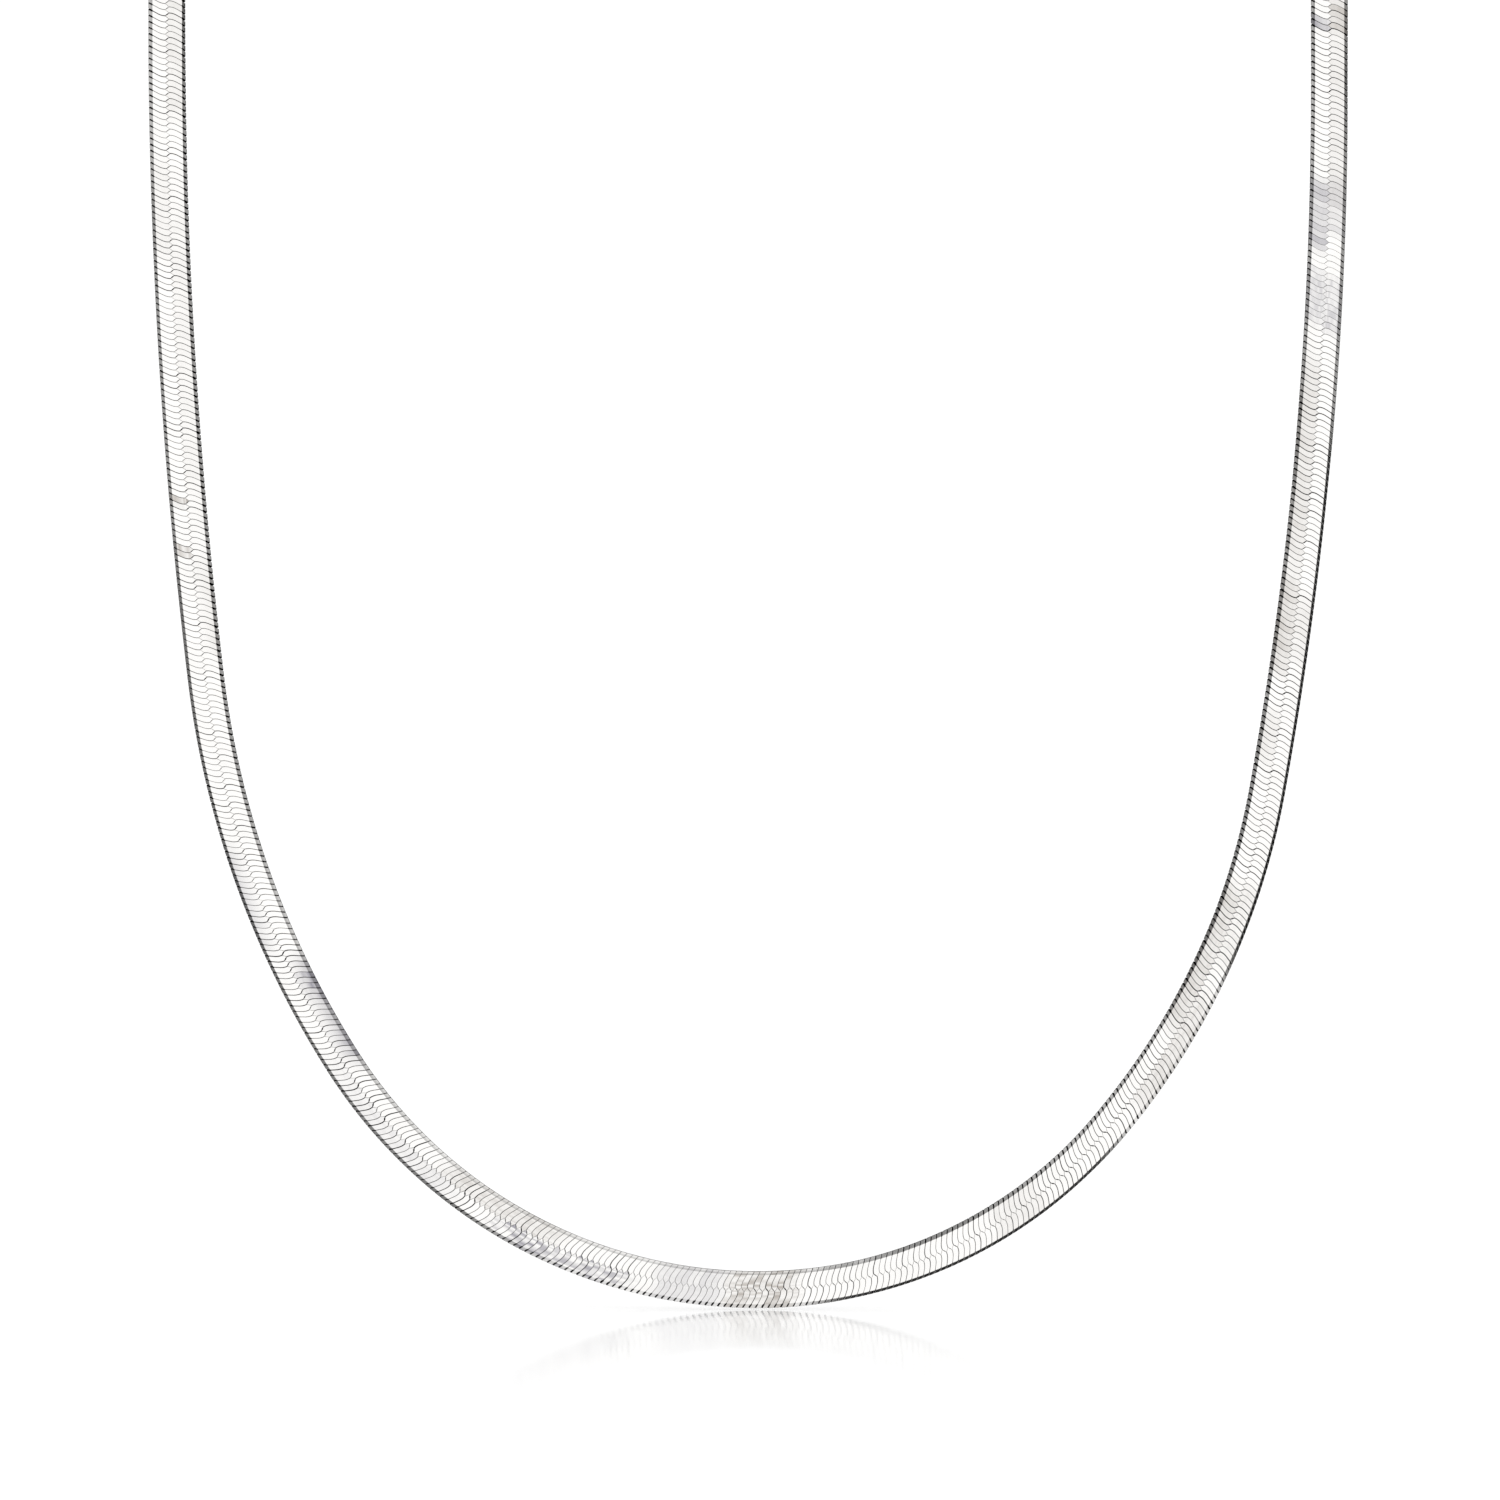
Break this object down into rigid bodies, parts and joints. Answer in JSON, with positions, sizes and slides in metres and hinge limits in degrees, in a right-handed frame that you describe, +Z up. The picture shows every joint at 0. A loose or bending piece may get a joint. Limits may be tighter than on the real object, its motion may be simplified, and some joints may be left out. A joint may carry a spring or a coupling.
{
  "type": "herringbone chain",
  "caption": "Flat silver herringbone chain: one closed loop of close slanting links with sloped edges, fastened behind the neck by end caps, jump rings and a lobster clasp.",
  "frame": {"origin": "middle of the clasp's under side, where the back of the neck carries the closed necklace", "axes": "+Z up, away from the pendant end of the loop; -Y out of the front face of the loop; +X to the right seen from the front"},
  "size_m": [0.1455, 0.005, 0.2267],
  "materials": {
    "silver_links": "polished sterling silver, flattened links with a mirror face and faint tarnish",
    "silver_fittings": "polished sterling silver sheet, wire and casting"
  },
  "bodies": {
    "root": {"herringbone_band": "silver_links", "end_cap_left": "silver_fittings", "end_cap_right": "silver_fittings", "jump_ring_left": "silver_fittings", "jump_ring_right": "silver_fittings", "clasp": "silver_fittings"}
  },
  "joints": []
}
